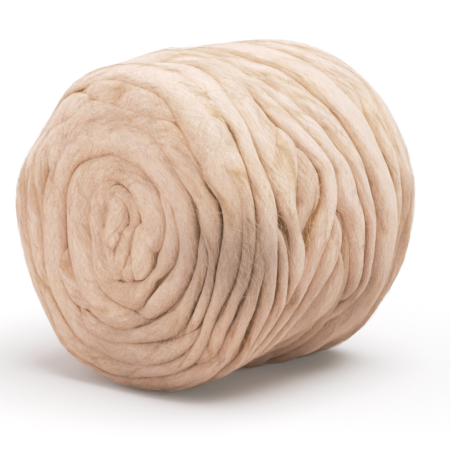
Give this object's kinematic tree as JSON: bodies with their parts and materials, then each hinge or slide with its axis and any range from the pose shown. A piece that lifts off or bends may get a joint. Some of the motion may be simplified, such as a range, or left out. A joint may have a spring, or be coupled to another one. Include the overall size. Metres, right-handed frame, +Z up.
{
  "type": "wool roving",
  "caption": "Large wound ball of soft, thick, undyed wool roving, lying on its side on a small flat spot, with the coiled end of the winding at one end.",
  "frame": {"origin": "under the middle of the ball, on the surface it rests on", "axes": "+Z up; the winding's axis lies along Y, with the coiled end that faces the viewer at -Y; +X across the ball"},
  "size_m": [0.3062, 0.2702, 0.2987],
  "materials": {
    "wool_roving": "matt, soft, slightly fuzzy undyed wool fibre"
  },
  "bodies": {
    "root": {"roving_ball": "wool_roving"}
  },
  "joints": []
}
